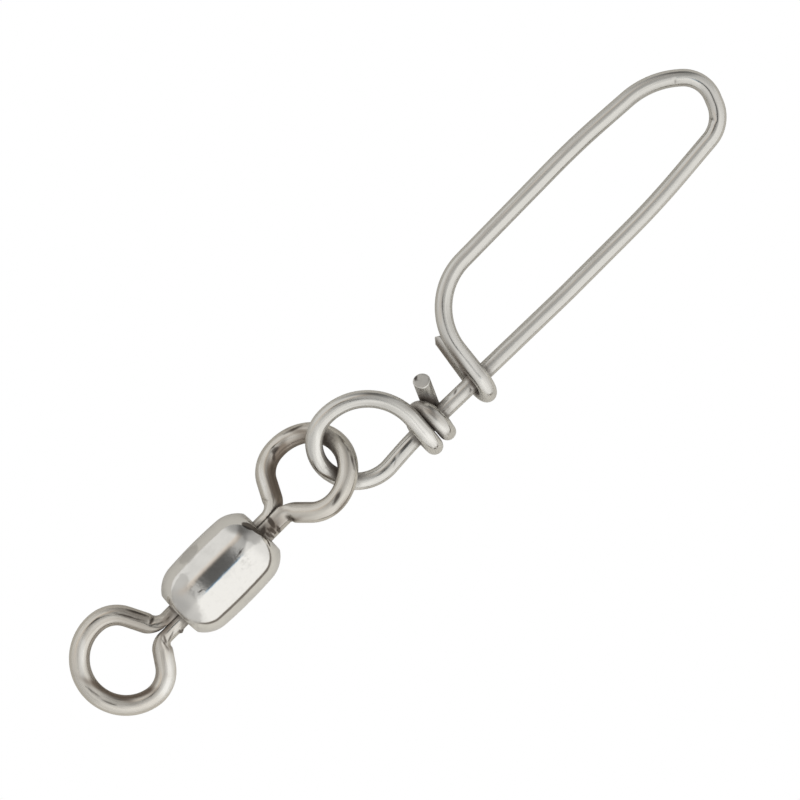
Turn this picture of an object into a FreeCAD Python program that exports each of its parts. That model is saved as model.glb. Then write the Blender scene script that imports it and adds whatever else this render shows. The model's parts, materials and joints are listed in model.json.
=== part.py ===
import FreeCAD, Part
import math
import os
from FreeCAD import Vector

# Fishing snap swivel, lying as it comes to rest on a flat surface.
# X runs from the line eye to the far bend of the snap, Y across, Z up.
# The parts are laid out from the middle of the barrel, on the barrel's axis,
# and moved at the end so that the origin is at the middle of the underside.
# All sizes are in millimetres and all angles in degrees.

# Lengths below this count as none, and cuts run past what they cut by the overrun
tolerance = 0.001
overrun = 1.0

# Wire
eye_wire = 1.42
snap_wire = 1.2

# Barrel, a sleeve with its ends crimped in
barrel_length = 7.86
barrel_diameter = 5.58
barrel_wall = 0.55
belly_radius = 34.0
crimp_radius = 2.25
end_face_diameter = 3.5
end_edge_round = 0.12
hole_edge_round = 0.15

# Neck of each eye, two half-round legs with a seam between them
neck_diameter = 1.84
neck_clearance = 0.06
seam_gap = 0.05
head_diameter = 3.1
head_length = 1.1
head_clearance = 0.1
head_round = 0.25
leg_steps = 6

# Eye, bent from one wire: ring, shoulders, flanks and neck bends
ring_radius = 3.18
ring_reach = 8.67
shoulder_radius = 2.15
near_ring_angle = 97.0
far_ring_angle = 78.0
near_neck_reach = 5.65
far_neck_reach = 6.2
near_neck_bend = 1.2
far_neck_bend = 0.9
line_ring_lean = 0.43
snap_ring_lean = 0.74
ring_floor_gap = 0.02

# Snap, measured from its first wrap along the shank
wrap_reach = 16.42
shank_offset = 2.835
wrap_gap = 0.04
strand_gap = 0.05
wrap_advance = (-0.06, -0.06, 0.06, 1.06, 0.95, 1.05)
first_wrap_sag = 0.09
second_wrap_sag = 0.02
tail_advance = 1.35
tail_root = 0.56
tail_length = 3.65
tail_rise = 53.0
tail_lean = 20.0
tail_shear = 5.0
tail_trim = 0.2
shank_bend_reach = 0.94
shank_bend = 16.0
loop_low_reach = 5.64
loop_drop = 0.33
loop_low_lift = -0.5
loop_low_bend = 3.0
loop_high_reach = 7.2
loop_width = 5.32
loop_high_bend = 2.6
loop_high_lift = 0.65
loop_shoulder_reach = 0.4
loop_shoulder_bend = 4.0
loop_shoulder_lift = 2.05

# Long bow of the snap: lower leg, far bend and arm
leg_bow = 0.33
leg_bow_start = 13.6
leg_bow_end = 22.3
leg_bow_bend = 60.0
bow_reach = 30.85
bow_width = 6.39
far_low_inset = 1.31
far_low_rise = 0.28
far_low_bend = 2.44
far_tip_rise = 3.47
far_tip_bend = 2.14
far_high_inset = 2.72
far_high_drop = 0.44
far_high_bend = 6.1
far_high_lift = 0.1
arm_crest_reach = 21.26
arm_crest_bend = 60.0
arm_crest_lift = 0.45
arm_drop_reach = 6.09
arm_drop_fall = 0.19
arm_drop_bend = 4.65
arm_drop_lift = 1.15

# Hook, over the shank and round under it
hook_reach = 5.25
hook_gap = 0.06
hook_sag = 0.11
hook_slip = 0.44
hook_tail = 4.73
hook_tail_reach = 5.75
hook_outer_trim = 0.38
hook_outer_shear = 58.0
hook_inner_trim = 1.04
hook_inner_shear = 23.0

# Sizes that follow from the ones above
half_length = barrel_length / 2
barrel_radius = barrel_diameter / 2
neck_radius = neck_diameter / 2
hole_radius = neck_radius + neck_clearance
leg_middle = neck_radius / 2
wrap_radius = snap_wire + wrap_gap
strand_pitch = snap_wire + strand_gap
hook_radius = snap_wire + hook_gap


def turned(direction, degrees):
    """A direction in the XY plane, turned about Z."""
    a = math.radians(degrees)
    return Vector(direction.x * math.cos(a) - direction.y * math.sin(a),
                  direction.x * math.sin(a) + direction.y * math.cos(a), 0)


def heading(degrees):
    """A direction in the XY plane, measured from X."""
    return turned(Vector(1, 0, 0), degrees)


def meeting_point(p, u, q, v):
    """Where the line through p along u meets the line through q along v."""
    across = u.x * v.y - u.y * v.x
    d = q - p
    return p + u * ((d.x * v.y - d.y * v.x) / across)


def bent_path(corners):
    """Straight runs joined by tangent arcs: corners holds (point, bend radius) pairs.
    Where two bends would meet on the run between them, both get as large as it allows."""
    points = [point for point, _ in corners]
    half_turns = [0]
    for a, b, c in zip(points, points[1:], points[2:]):
        half_turns.append((b - a).getAngle(c - b) / 2)
    half_turns.append(0)
    reaches = [radius * math.tan(half) for (_, radius), half in zip(corners, half_turns)]
    shares = [1] * len(points)
    for i, (a, b) in enumerate(zip(points, points[1:])):
        room = min(1, (b - a).Length / max(reaches[i] + reaches[i + 1], tolerance))
        shares[i] = min(shares[i], room)
        shares[i + 1] = min(shares[i + 1], room)

    edges = []
    last = points[0]
    for i in range(1, len(points) - 1):
        a, b, c = points[i - 1:i + 2]
        back = (a - b).normalize()
        ahead = (c - b).normalize()
        reach = reaches[i] * shares[i]
        radius = reach / math.tan(half_turns[i])
        start = b + back * reach
        end = b + ahead * reach
        inward = (back + ahead).normalize()
        middle = b + inward * (radius / math.cos(half_turns[i]) - radius)
        if start.distanceToPoint(last) > tolerance:
            edges.append(Part.LineSegment(last, start).toShape())
        edges.append(Part.Arc(start, middle, end).toShape())
        last = end
    edges.append(Part.LineSegment(last, points[-1]).toShape())
    return Part.Wire(edges)


def round_wire(corners, diameter):
    """A round wire that is fed and bent along the corners."""
    path = bent_path(corners)
    along = corners[1][0] - corners[0][0]
    section = Part.Wire(Part.Circle(corners[0][0], along, diameter / 2).toShape())
    return path.makePipe(Part.Face(section))


def half_space(point, normal, size):
    """A block that fills what lies beyond a plane, close to its point."""
    block = Part.makeBox(size, size, size, Vector(-size / 2, -size / 2, 0))
    block.Placement = FreeCAD.Placement(point, FreeCAD.Rotation(Vector(0, 0, 1), normal))
    return block


# Barrel


def crimp_start():
    """Angle on the belly's arc where the arc of the crimped end takes over."""
    a = half_length
    b = end_face_diameter / 2 - barrel_radius + belly_radius
    inner = belly_radius - crimp_radius
    span = math.hypot(a, b)
    cosine = (span ** 2 + inner ** 2 - crimp_radius ** 2) / (2 * inner * span)
    return math.atan2(a, b) - math.acos(cosine)


def crimp_middle():
    """Middle of the crimped end's arc, along the axis and out from it."""
    inner = belly_radius - crimp_radius
    start = crimp_start()
    return inner * math.sin(start), barrel_radius - belly_radius + inner * math.cos(start)


def on_arc(along, out, radius, angle):
    """A point of an arc, drawn above the axis and measured from straight up."""
    return Vector(along + radius * math.sin(angle), 0, out + radius * math.cos(angle))


def keg(inset, end):
    """The barrel's form, drawn in by an inset and cut square at each end."""
    start = crimp_start()
    along, out = crimp_middle()
    belly = (0, barrel_radius - belly_radius, belly_radius - inset)
    crimp = (along, out, crimp_radius - inset)
    finish = math.asin((end - along) / (crimp_radius - inset))
    rim = on_arc(*crimp, finish)
    right = [Part.Arc(on_arc(*belly, 0), on_arc(*belly, start / 2), on_arc(*belly, start)).toShape(),
             Part.Arc(on_arc(*crimp, start), on_arc(*crimp, (start + finish) / 2), rim).toShape(),
             Part.LineSegment(rim, Vector(end, 0, 0)).toShape()]
    left = [edge.mirror(Vector(0, 0, 0), Vector(1, 0, 0)) for edge in right]
    axis = Part.LineSegment(Vector(-end, 0, 0), Vector(end, 0, 0)).toShape()
    outline = Part.Wire(Part.__sortEdges__(right + left + [axis]))
    return Part.Face(outline).revolve(Vector(0, 0, 0), Vector(1, 0, 0), 360)


def end_edges(body, radius):
    """The two round edges of this radius in the barrel's end faces."""
    return [edge for edge in body.Edges
            if edge.BoundBox.XLength < tolerance
            and abs(abs(edge.BoundBox.Center.x) - half_length) < tolerance
            and abs(edge.BoundBox.YLength / 2 - radius) < tolerance]


def make_barrel():
    """The crimped sleeve with its chamber and a hole for a neck in each end."""
    chamber = keg(barrel_wall, half_length - barrel_wall)
    hole = Part.makeCylinder(hole_radius, barrel_length + 2 * overrun,
                             Vector(-half_length - overrun, 0, 0), Vector(1, 0, 0))
    body = keg(0, half_length).cut(chamber).cut(hole)
    body = body.makeFillet(end_edge_round, end_edges(body, end_face_diameter / 2))
    return body.makeFillet(hole_edge_round, end_edges(body, hole_radius))


# Eyes


def eye_side(lean, side):
    """One half of the eye: the corner and radius of its neck bend, the slope of its flank,
    and the corners of its shoulder and its ring."""
    middle = Vector(ring_reach, lean, 0)
    angle = near_ring_angle if side > 0 else far_ring_angle
    reach = near_neck_reach if side > 0 else far_neck_reach
    bend = near_neck_bend if side > 0 else far_neck_bend
    neck = Vector(reach, side * leg_middle, 0)
    corner_reach = ring_radius / math.cos(math.radians(angle / 2))
    ring_corner = middle + heading(side * angle / 2) * corner_reach
    shoulder_middle = middle + heading(side * angle) * (ring_radius - shoulder_radius)
    sight = shoulder_middle - neck
    slope = math.degrees(math.atan2(side * sight.y, sight.x) + math.asin(shoulder_radius / sight.Length))
    shoulder = meeting_point(neck, heading(side * slope),
                             middle + heading(side * angle) * ring_radius, heading(side * (angle + 90)))
    return neck, bend, slope, shoulder, ring_corner


def leg_section(share, place, along, side):
    """Section of a leg between the round wire (share 0) and the half-round neck (share 1)."""
    up = Vector(0, 0, 1)
    out = up.cross(along) * side
    round_radius = eye_wire / 2
    half_chord = math.sqrt(neck_radius ** 2 - (seam_gap / 2) ** 2)
    seam_side = (seam_gap / 2 - leg_middle) * share
    edge = place + out * seam_side
    rise = up * (round_radius + (half_chord - round_radius) * share)
    outer = place + out * (round_radius + (neck_radius - leg_middle - round_radius) * share)
    inner = place + out * (seam_side - round_radius * (1 - share))
    skin = Part.Arc(edge - rise, outer, edge + rise).toShape()
    if share < 1:
        seam = Part.Arc(edge + rise, inner, edge - rise).toShape()
    else:
        seam = Part.LineSegment(edge + rise, edge - rise).toShape()
    return Part.Wire([skin, seam])


def neck_leg(neck, bend, slope, side):
    """The neck bend of one leg, pressed from a round wire to half of the round neck."""
    reach = bend * math.tan(math.radians(slope / 2))
    centre = neck + Vector(-reach, side * bend, 0)
    sections = []
    for step in range(leg_steps + 1):
        turn = slope * (1 - step / leg_steps)
        place = centre + heading(side * (turn - 90)) * bend
        sections.append(leg_section(step / leg_steps, place, heading(side * turn), side))
    return Part.makeLoft(sections, True, False)


def neck_half(start, side):
    """Half of the neck and of its head, from where the leg is round no longer into the chamber."""
    seat = half_length - barrel_wall - head_clearance
    back = seat - head_length
    stem = Part.makeCylinder(neck_radius, start - seat, Vector(seat, 0, 0), Vector(1, 0, 0))
    head = Part.makeCylinder(head_diameter / 2, head_length, Vector(back, 0, 0), Vector(1, 0, 0))
    head = head.makeFillet(head_round, [e for e in head.Edges if e.BoundBox.XLength < tolerance])
    seam = seam_gap / 2 if side > 0 else -seam_gap / 2 - head_diameter
    half = Part.makeBox(start - back, head_diameter, 2 * head_diameter, Vector(back, seam, -head_diameter))
    return stem.fuse(head).common(half)


def make_eye(lean):
    """The eye with its neck along +X and its ring in the XY plane."""
    rings = []
    pieces = []
    for side in (1, -1):
        neck, bend, slope, shoulder, ring_corner = eye_side(lean, side)
        reach = bend * math.tan(math.radians(slope / 2))
        flank = neck + heading(side * slope) * reach
        rings.append([(flank, 0), (shoulder, shoulder_radius), (ring_corner, ring_radius)])
        pieces.append(neck_leg(neck, bend, slope, side))
        pieces.append(neck_half(neck.x - reach, side))
    ring = round_wire(rings[0] + rings[1][::-1], eye_wire)
    return ring.multiFuse(pieces).removeSplitter()


# Snap


def wrap_corners():
    """Square corners round the shank, whose arcs make the wraps, from the loop to the tail.
    Each strand moves along the shank by its share of the pitch."""
    r = wrap_radius
    first = -r - first_wrap_sag
    second = -r - second_wrap_sag
    square = [(first, r), (first, -r), (r, -r), (r, r), (second, r), (second, -r)]
    return [(Vector(share * strand_pitch, across, up), r)
            for share, (across, up) in zip(wrap_advance, square)]


def tail_corners():
    """The tail leaves the back of the shank and rises beside it."""
    rise = math.radians(tail_rise)
    start = Vector(tail_advance * strand_pitch, tail_root, -wrap_radius)
    direction = turned(Vector(0, 1, 0), -tail_lean) * math.cos(rise) + Vector(0, 0, math.sin(rise))
    return [(start, wrap_radius), (start + direction * tail_length, 0)]


def snap_corners():
    """Corners of the whole snap: X along the shank, Y towards the arm, Z to the hook's front."""
    loop = [(Vector(loop_shoulder_reach, loop_width, loop_shoulder_lift), loop_shoulder_bend),
            (Vector(-loop_high_reach, loop_width, loop_high_lift), loop_high_bend),
            (Vector(-loop_low_reach, -loop_drop, loop_low_lift), loop_low_bend),
            (Vector(-shank_bend_reach, 0, 0), shank_bend)]
    leg = [(Vector(leg_bow_start, -leg_bow, 0), leg_bow_bend),
           (Vector(leg_bow_end, -leg_bow, 0), leg_bow_bend)]
    far = [(Vector(bow_reach - far_low_inset, far_low_rise, 0), far_low_bend),
           (Vector(bow_reach, far_tip_rise, 0), far_tip_bend),
           (Vector(bow_reach - far_high_inset, bow_width - far_high_drop, far_high_lift), far_high_bend)]
    arm = [(Vector(arm_crest_reach, bow_width, arm_crest_lift), arm_crest_bend),
           (Vector(arm_drop_reach, bow_width - arm_drop_fall, arm_drop_lift), arm_drop_bend)]
    r = hook_radius
    low = -r - hook_sag
    hook = [(Vector(hook_reach, low, r), r),
            (Vector(hook_reach - hook_slip, low, -r), r),
            (Vector(hook_tail_reach, hook_tail, -r), 0)]
    wraps = (wrap_corners() + tail_corners())[::-1]
    return wraps + loop + leg + far + arm + hook


def sheared(wire, corners, trim, axis, shear):
    """The wire with its first corner's end cut off at a slant."""
    (tip, _), (before, _) = corners
    way = (tip - before).normalize()
    slant = FreeCAD.Rotation(axis, shear).multVec(way)
    return wire.cut(half_space(tip - way * trim, slant, 2 * snap_wire))


def make_snap():
    """The snap in its own plane, with its tail cut off and its hook's end cut to a chisel."""
    corners = snap_corners()
    wire = round_wire(corners, snap_wire)
    wire = sheared(wire, corners[:2], tail_trim, Vector(1, 0, 0), tail_shear)
    hook_end = corners[:-3:-1]
    wire = sheared(wire, hook_end, hook_outer_trim, Vector(0, 0, 1), hook_outer_shear)
    return sheared(wire, hook_end, hook_inner_trim, Vector(0, 0, 1), -hook_inner_shear)


def snap_to_rest(shape):
    """Lays the snap on its hook and its far bend, on the surface that the barrel lies on."""
    pitch = math.asin(hook_radius / (bow_reach - snap_wire / 2 - hook_tail_reach))
    shape.rotate(Vector(0, 0, 0), Vector(0, 1, 0), math.degrees(pitch))
    lowest = shape.optimalBoundingBox(False).ZMin
    shape.translate(Vector(wrap_reach, -shank_offset, -barrel_radius - lowest))
    return shape


# The line eye stays flat. The snap eye has rolled until its ring is just clear of the surface.
line_eye = make_eye(line_ring_lean)
line_eye.rotate(Vector(0, 0, 0), Vector(0, 1, 0), 180)
roll = math.asin((barrel_radius - eye_wire / 2 - ring_floor_gap) / (snap_ring_lean + ring_radius))
snap_eye = make_eye(snap_ring_lean)
snap_eye.rotate(Vector(0, 0, 0), Vector(1, 0, 0), -math.degrees(roll))
parts = {"barrel": make_barrel(), "line_eye": line_eye, "snap_eye": snap_eye,
         "snap": snap_to_rest(make_snap())}

whole = Part.makeCompound(list(parts.values())).optimalBoundingBox(False)
to_origin = Vector(-whole.Center.x, -whole.Center.y, barrel_radius)
os.makedirs("parts", exist_ok=True)
for name, shape in parts.items():
    shape.translate(to_origin)
    shape.exportStep("parts/" + name + ".step")
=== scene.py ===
# %% [markdown]
# # A fishing snap swivel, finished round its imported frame
#
# The part is made of four pieces: a small crimped barrel, a wire eye at each of its ends, and a
# snap bent from one length of spring wire. The frame already holds each piece as a plain solid.
# This lesson draws them again with the detail that shows from close by: the pressed necks, the
# cut wire ends, the draw lines in the wire and the dirt that gathers where wires touch.

# %% Load the frame
import json
import math

import bpy
import numpy as np
from mathutils import Matrix, Vector
from mathutils.bvhtree import BVHTree


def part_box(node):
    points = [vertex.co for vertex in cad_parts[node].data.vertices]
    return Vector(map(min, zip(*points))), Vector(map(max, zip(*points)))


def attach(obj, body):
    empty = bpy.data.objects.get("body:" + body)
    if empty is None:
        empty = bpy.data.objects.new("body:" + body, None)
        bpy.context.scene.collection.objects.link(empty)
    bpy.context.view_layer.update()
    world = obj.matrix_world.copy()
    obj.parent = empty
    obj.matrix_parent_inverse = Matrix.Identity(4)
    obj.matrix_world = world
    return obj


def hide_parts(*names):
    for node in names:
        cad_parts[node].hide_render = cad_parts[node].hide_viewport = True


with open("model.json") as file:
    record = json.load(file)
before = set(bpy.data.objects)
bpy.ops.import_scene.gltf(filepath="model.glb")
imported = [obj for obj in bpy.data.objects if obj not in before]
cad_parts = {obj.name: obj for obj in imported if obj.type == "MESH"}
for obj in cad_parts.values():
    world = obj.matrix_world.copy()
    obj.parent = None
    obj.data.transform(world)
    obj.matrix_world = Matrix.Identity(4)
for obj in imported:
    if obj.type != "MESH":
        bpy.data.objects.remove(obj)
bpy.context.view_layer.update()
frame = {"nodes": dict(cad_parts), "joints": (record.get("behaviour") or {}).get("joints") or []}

print("nodes:", sorted(frame["nodes"]))

# %% [markdown]
# The pieces are drawn in millimetres, from the middle of the barrel and along its axis, because
# that is how they are made. The frame says where that middle is: the eyes' joints lie on the axis,
# and the barrel's box gives its place along it.

# %% The barrel's middle, and the way from there to the part
MM = 0.001

joints = {joint["name"]: joint for joint in frame["joints"]}
barrel_low, barrel_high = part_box("barrel")
on_axis = Vector(joints["snap_eye_spin"]["pos_m"])
barrel_middle = Vector(((barrel_low.x + barrel_high.x) / 2, on_axis.y, on_axis.z))
HALF_LENGTH = (barrel_high.x - barrel_low.x) / 2 / MM
BARREL_RADIUS = (barrel_high.z - barrel_low.z) / 2 / MM
print("barrel middle (mm):", [round(c / MM, 3) for c in barrel_middle])


def pick(piece):
    """Selects one piece alone, because Blender's tools work on all that is selected."""
    bpy.ops.object.select_all(action="DESELECT")
    piece.select_set(True)
    bpy.context.view_layer.objects.active = piece


def settle(piece, placement=None):
    """Puts the piece in its place and writes that place into its mesh."""
    if placement is not None:
        piece.matrix_world = placement @ piece.matrix_world
    pick(piece)
    bpy.ops.object.transform_apply(location=True, rotation=True, scale=True)


def mesh_points(piece):
    """The piece's points as an array with a row for each."""
    points = np.empty(len(piece.data.vertices) * 3)
    piece.data.vertices.foreach_get("co", points)
    return points.reshape(-1, 3)


def move_points(piece, points):
    """Puts the piece's points at the rows of an array."""
    piece.data.vertices.foreach_set("co", points.ravel())
    piece.data.update()


# %% [markdown]
# ## Bending wire
#
# On a bench, wire is fed straight out of a bender and turned round a pin, again and again. The
# same moves make a clean mesh here: a circle is extruded along each straight run and spun round
# each bend. Every ring of points then crosses the wire squarely, which a swept curve doesn't
# promise, and each ring can remember how far along the straight wire it was. The draw lines, the
# fine marks that the drawing die left, follow that memory round every bend.

# %% Feed and bend
WIRE_SIDES = 48
RING_STEP = 0.14 * MM
LEAST_STEPS = 3
SHORTEST_RUN = 1e-7
NO_REACH = 1e-9


def feed(way, length):
    """Extrudes the selected ring straight on, in even steps."""
    steps = max(1, round(length / RING_STEP))
    bpy.ops.mesh.extrude_repeat(steps=steps, offset=way * (length / steps))


def bent_wire(name, corners, diameter):
    """A round wire along corners, which hold a point and the bend's radius there, in millimetres."""
    points = [Vector(point) * MM for point, _ in corners]
    runs = [b - a for a, b in zip(points, points[1:])]
    turns = [0] + [a.angle(b) for a, b in zip(runs, runs[1:])] + [0]
    reaches = [radius * MM * math.tan(turn / 2) for (_, radius), turn in zip(corners, turns)]
    shares = [1] * len(points)
    for i, run in enumerate(runs):
        room = min(1, run.length / max(reaches[i] + reaches[i + 1], NO_REACH))
        shares[i] = min(shares[i], room)
        shares[i + 1] = min(shares[i + 1], room)
    reaches = [reach * share for reach, share in zip(reaches, shares)]

    bpy.ops.object.select_all(action="DESELECT")
    squarely = runs[0].to_track_quat("Z", "Y").to_euler()
    bpy.ops.mesh.primitive_circle_add(vertices=WIRE_SIDES, radius=diameter / 2 * MM,
                                      location=points[0], rotation=squarely)
    wire = bpy.context.object
    wire.name = wire.data.name = name
    bpy.ops.object.mode_set(mode="EDIT")
    for i, run in enumerate(runs):
        way = run.normalized()
        straight = run.length - reaches[i] - reaches[i + 1]
        if straight > SHORTEST_RUN:
            feed(way, straight)
        if i + 1 < len(runs):
            ahead = runs[i + 1].normalized()
            radius = reaches[i + 1] / math.tan(turns[i + 1] / 2)
            inward = (ahead - way).normalized()
            pin = points[i + 1] + inward * (radius / math.cos(turns[i + 1] / 2))
            steps = max(LEAST_STEPS, math.ceil(turns[i + 1] * radius / RING_STEP))
            bpy.ops.mesh.spin(steps=steps, angle=-turns[i + 1], center=pin, axis=way.cross(ahead))
    bpy.ops.object.mode_set(mode="OBJECT")
    settle(wire)
    remember_drawing(wire, diameter)
    return wire


# %% [markdown]
# A wire's points stay in rings, in the order in which they were fed. While they do, each one can
# write down where it was in the straight wire. The note is an attribute of the mesh, so cuts and
# finishes that come later still find it.

# %% Remember the straight wire
def remember_drawing(wire, diameter):
    """Writes on each point where it was while the wire was straight: along it, then across it."""
    rings = mesh_points(wire).reshape(-1, WIRE_SIDES, 3)
    centres = rings.mean(axis=1)
    along = np.concatenate([[0], np.cumsum(np.linalg.norm(np.diff(centres, axis=0), axis=1))])
    angles = np.arange(WIRE_SIDES) * 2 * math.pi / WIRE_SIDES
    drawn = np.empty_like(rings)
    drawn[:, :, 0] = along[:, None]
    drawn[:, :, 1] = np.cos(angles) * diameter / 2 * MM
    drawn[:, :, 2] = np.sin(angles) * diameter / 2 * MM
    memory = wire.data.attributes.new("drawn", "FLOAT_VECTOR", "POINT")
    memory.data.foreach_set("vector", drawn.ravel())
    print(f"{wire.name}: {along[-1] / MM:.1f} mm of wire, {len(rings)} rings")


# %% [markdown]
# Side cutters squeeze a wire until it parts, and push a small lip over on the face. Here a bisect
# cuts the mesh at a plane just short of the face. It moves points near the plane onto it, and for so
# thin a wire its usual reach, a tenth of a millimetre, is far too long, so it is given a short one.
# The edge is then extruded in two steps that get smaller, which rounds the lip, and on in rings to
# one point in the middle, which closes the face.

# %% Cut and close
def select_points(piece, wanted):
    """Selects the points whose place in the list is marked, and the edges and faces between them."""
    bpy.ops.object.mode_set(mode="EDIT")
    bpy.ops.mesh.select_all(action="DESELECT")
    bpy.ops.object.mode_set(mode="OBJECT")
    piece.data.vertices.foreach_set("select", np.asarray(wanted, dtype=bool))
    bpy.ops.object.mode_set(mode="EDIT")
    bpy.ops.mesh.select_mode(type="VERT")


LIP_RINGS = ((0.6, 0.3), (0.4, 0.7))
CAP_SHARES = (0.82, 0.78, 0.7)
NEAR_PLANE = 1e-7


def cut_off(piece, wanted, place, normal, lip, radius):
    """Cuts the wanted part of a piece at a plane, and closes it with a round lip and a flat face."""
    pick(piece)
    select_points(piece, wanted)
    bpy.ops.mesh.bisect(plane_co=place - normal * lip, plane_no=normal, clear_outer=True,
                        threshold=NEAR_PLANE)
    bpy.ops.object.mode_set(mode="OBJECT")
    rim = [vertex.co.copy() for vertex in piece.data.vertices if vertex.select]
    middle = sum(rim, Vector()) / len(rim)
    bpy.ops.object.mode_set(mode="EDIT")
    for rise, narrowing in LIP_RINGS:
        share = 1 - narrowing * lip / radius
        bpy.ops.mesh.extrude_region()
        bpy.ops.transform.translate(value=normal * lip * rise)
        bpy.ops.transform.resize(value=(share, share, share), center_override=middle)
        middle += normal * lip * rise
    for share in CAP_SHARES:
        bpy.ops.mesh.extrude_region()
        bpy.ops.transform.resize(value=(share, share, share), center_override=middle)
    bpy.ops.mesh.merge(type="CENTER")
    bpy.ops.object.mode_set(mode="OBJECT")
    print(f"{piece.name}: cut at {middle / MM}, {len(rim)} points round it")
    return middle


# %% [markdown]
# Spinning and extruding can leave faces that point inwards, and all of them flat. So each finished
# piece has its normals recalculated, and is shaded smooth where its faces meet at less than a sharp
# angle.

# %% Smooth
SHARP_EDGE = math.radians(40)


def smooth(piece):
    """Turns all faces outwards and shades the piece smooth, apart from its sharp edges."""
    pick(piece)
    bpy.ops.object.mode_set(mode="EDIT")
    bpy.ops.mesh.select_all(action="SELECT")
    bpy.ops.mesh.normals_make_consistent(inside=False)
    bpy.ops.object.mode_set(mode="OBJECT")
    bpy.ops.object.shade_smooth_by_angle(angle=SHARP_EDGE)
    print(f"{piece.name}: {len(piece.data.polygons)} faces")


# %% [markdown]
# ## The snap
#
# The snap is one spring wire. It starts as a cut tail, wraps twice round its own shank, makes the
# loop that holds the swivel, runs on as the shank, turns at the far bend, comes back as the arm,
# and ends in a hook that goes over the shank and round under it. Its corners are measured from the
# first wrap: X along the shank, Y towards the arm, Z towards the side that faces up.

# %% The snap's corners
SNAP_WIRE = 1.2
WRAP = SNAP_WIRE + 0.04
STRAND_PITCH = SNAP_WIRE + 0.05
TAIL_LENGTH = 3.65
TAIL_RISE = math.radians(53)
TAIL_LEAN = math.radians(20)

FIRST_LOW = -WRAP - 0.09
SECOND_LOW = -WRAP - 0.02
wrap_square = [(FIRST_LOW, WRAP), (FIRST_LOW, -WRAP), (WRAP, -WRAP),
               (WRAP, WRAP), (SECOND_LOW, WRAP), (SECOND_LOW, -WRAP)]
wrap_advance = [-0.06, -0.06, 0.06, 1.06, 0.95, 1.05]
wraps = [((advance * STRAND_PITCH, across, up), WRAP)
         for advance, (across, up) in zip(wrap_advance, wrap_square)]

tail_root = Vector((1.35 * STRAND_PITCH, 0.56, -WRAP))
tail_way = Vector((math.sin(TAIL_LEAN) * math.cos(TAIL_RISE),
                   math.cos(TAIL_LEAN) * math.cos(TAIL_RISE), math.sin(TAIL_RISE)))
tail = [(tail_root + tail_way * TAIL_LENGTH, 0), (tail_root, WRAP)]

loop = [((0.4, 5.32, 2.05), 4.0), ((-7.2, 5.32, 0.65), 2.6),
        ((-5.64, -0.33, -0.5), 3.0), ((-0.94, 0, 0), 16)]
leg = [((13.6, -0.33, 0), 60), ((22.3, -0.33, 0), 60)]
BOW_REACH = 30.85
far_bend = [((29.54, 0.28, 0), 2.44), ((BOW_REACH, 3.47, 0), 2.14), ((28.13, 5.95, 0.1), 6.1)]
arm = [((21.26, 6.39, 0.45), 60), ((6.09, 6.2, 1.15), 4.65)]

HOOK_RADIUS = SNAP_WIRE + 0.06
HOOK_LOW = -HOOK_RADIUS - 0.11
hook_tip = Vector((5.75, 4.73, -HOOK_RADIUS))
hook_root = Vector((4.81, HOOK_LOW, -HOOK_RADIUS))
hook = [((5.25, HOOK_LOW, HOOK_RADIUS), HOOK_RADIUS), (hook_root, HOOK_RADIUS), (hook_tip, 0)]

snap = bent_wire("snap_wire", tail + wraps[::-1] + loop + leg + far_bend + arm + hook, SNAP_WIRE)

# %% [markdown]
# The tail is cut once, nearly square. The hook's end is cut from both sides, which leaves a chisel.
# The fresh faces are marked in an attribute, because they have no draw lines.

# %% Cut both ends
END_ZONE = 1.8 * MM
CUT_LIP = 0.07
CHISEL_LIP = 0.03
FACE_DEPTH = 0.01 * MM
TAIL_CUT = (0.3, 5)
CHISEL_CUTS = ((0.38, 58), (1.04, -23))


def along_wire(wire):
    """How far along the straight wire each point was."""
    drawn = np.empty(len(wire.data.vertices) * 3)
    wire.data.attributes["drawn"].data.foreach_get("vector", drawn)
    return drawn[::3]


def cut_wire_end(wire, near, tip, way, trim, axis, slant, lip):
    """Cuts the near part of a wire at a slant, a little before its tip, and remembers the cut face."""
    normal = way.copy()
    normal.rotate(Matrix.Rotation(math.radians(slant), 3, axis))
    middle = cut_off(wire, near, (Vector(tip) - way * trim) * MM, normal, lip * MM, SNAP_WIRE / 2 * MM)
    offsets = mesh_points(wire) - np.array(middle)
    in_plane = np.abs(offsets @ np.array(normal)) < FACE_DEPTH
    near_by = np.linalg.norm(offsets, axis=1) < SNAP_WIRE * MM
    mark = wire.data.attributes["cut"].data
    for i in np.flatnonzero(in_plane & near_by):
        mark[i].value = 1


hook_zone = along_wire(snap).max() - END_ZONE
hook_way = (hook_tip - hook_root).normalized()
snap.data.attributes.new("cut", "FLOAT", "POINT")
trim, slant = TAIL_CUT
cut_wire_end(snap, along_wire(snap) < END_ZONE, tail[0][0], tail_way, trim, Vector((1, 0, 0)), slant,
             CUT_LIP)
for trim, slant in CHISEL_CUTS:
    near_hook = along_wire(snap) > hook_zone
    cut_wire_end(snap, near_hook, hook_tip, hook_way, trim, Vector((0, 0, 1)), slant, CHISEL_LIP)

# %% [markdown]
# The snap lies on its hook at one end and on its far bend at the other, so it is pitched by the small
# angle between them. The frame's box then gives its place, by the corner where the box ends.

# %% Lay the snap down
PITCH = math.asin(HOOK_RADIUS / (BOW_REACH - SNAP_WIRE / 2 - hook_tip.x))
settle(snap, Matrix.Rotation(PITCH, 4, "Y"))
_, snap_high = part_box("snap")
settle(snap, Matrix.Translation(snap_high - Vector(mesh_points(snap).max(axis=0))))
smooth(snap)
print("snap pitched by", round(math.degrees(PITCH), 2), "degrees")
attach(snap, "snap")
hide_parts("snap")

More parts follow.
